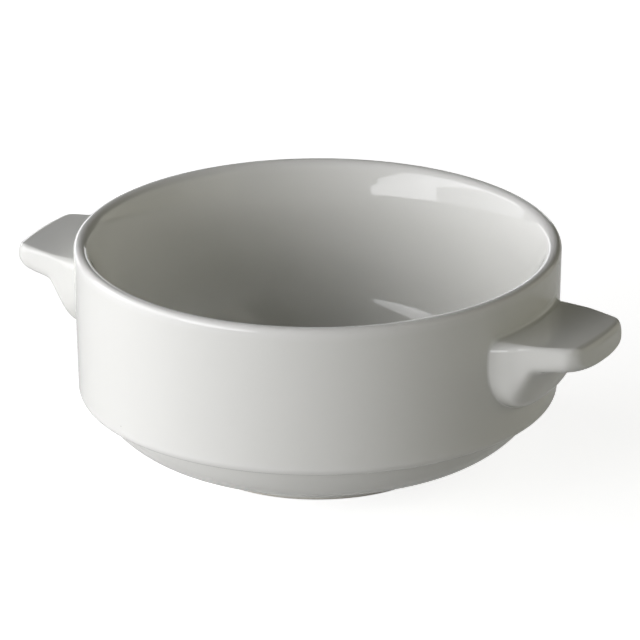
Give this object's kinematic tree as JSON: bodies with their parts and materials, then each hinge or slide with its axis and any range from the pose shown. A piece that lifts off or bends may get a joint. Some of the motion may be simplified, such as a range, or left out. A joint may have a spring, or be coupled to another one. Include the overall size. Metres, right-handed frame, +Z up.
{
  "type": "soup bowl",
  "caption": "White glazed porcelain soup bowl with straight sides, a rounded lip, lug handles on opposite sides, and an inset base and foot ring so that bowls stack.",
  "frame": {"origin": "centre of the foot ring, on the plane that the bowl rests on", "axes": "+Z up along the bowl's axis, +X through the middle of the right handle as pictured"},
  "size_m": [0.1536, 0.116, 0.054],
  "materials": {
    "porcelain_glaze": "glossy clear glaze over white porcelain",
    "biscuit_foot": "bare fired porcelain, ground smooth",
    "luting_slip": "fired casting slip"
  },
  "bodies": {
    "root": {"bowl_body": "porcelain_glaze", "foot_ring": "biscuit_foot", "foot_slip": "luting_slip", "handle_right": "porcelain_glaze", "handle_right_slip": "luting_slip", "handle_left": "porcelain_glaze", "handle_left_slip": "luting_slip"}
  },
  "joints": []
}
